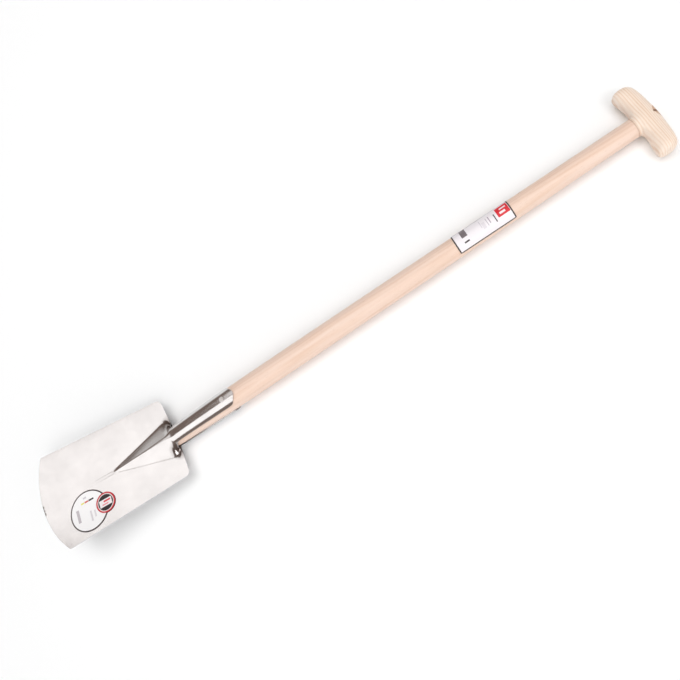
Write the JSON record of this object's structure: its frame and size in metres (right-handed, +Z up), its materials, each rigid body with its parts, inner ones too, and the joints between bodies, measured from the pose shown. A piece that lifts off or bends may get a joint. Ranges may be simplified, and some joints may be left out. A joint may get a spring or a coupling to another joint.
{
  "type": "garden spade",
  "caption": "Strapped digging spade with a dished, flared stainless blade, a tapered hardwood shaft held between steel straps by a rivet, and a wooden T grip.",
  "frame": {"origin": "middle of the bounding box in plan, on the surface that the spade lies on", "axes": "+X along the shaft from the cutting edge to the grip; +Y across the blade, to the left when the grip is away from the viewer; +Z up, out of the blade's face, with the spade lying on its back"},
  "size_m": [1.1142, 0.1644, 0.077],
  "materials": {
    "blade_steel": "polished stainless sheet",
    "weld": "brushed weld",
    "rivet_steel": "bright, domed",
    "shaft_wood": "pale, sanded and waxed, grain along the shaft",
    "grip_wood": "pale, sanded, grain along the bar",
    "wedge_wood": "dark hardwood wedge",
    "shaft_label": "gloss paper sticker with plain bars",
    "blade_label": "pale film sticker with a thin dark ring and plain bars",
    "badge": "red, black and white film sticker with plain bars"
  },
  "bodies": {
    "root": {"blade": "blade_steel", "back_strap": "blade_steel", "weld_bead": "weld", "rivet": "rivet_steel", "shaft": "shaft_wood", "grip": "grip_wood", "tenon_wedge": "wedge_wood", "shaft_label": "shaft_label", "blade_label": "blade_label", "blade_badge": "badge"}
  },
  "joints": []
}
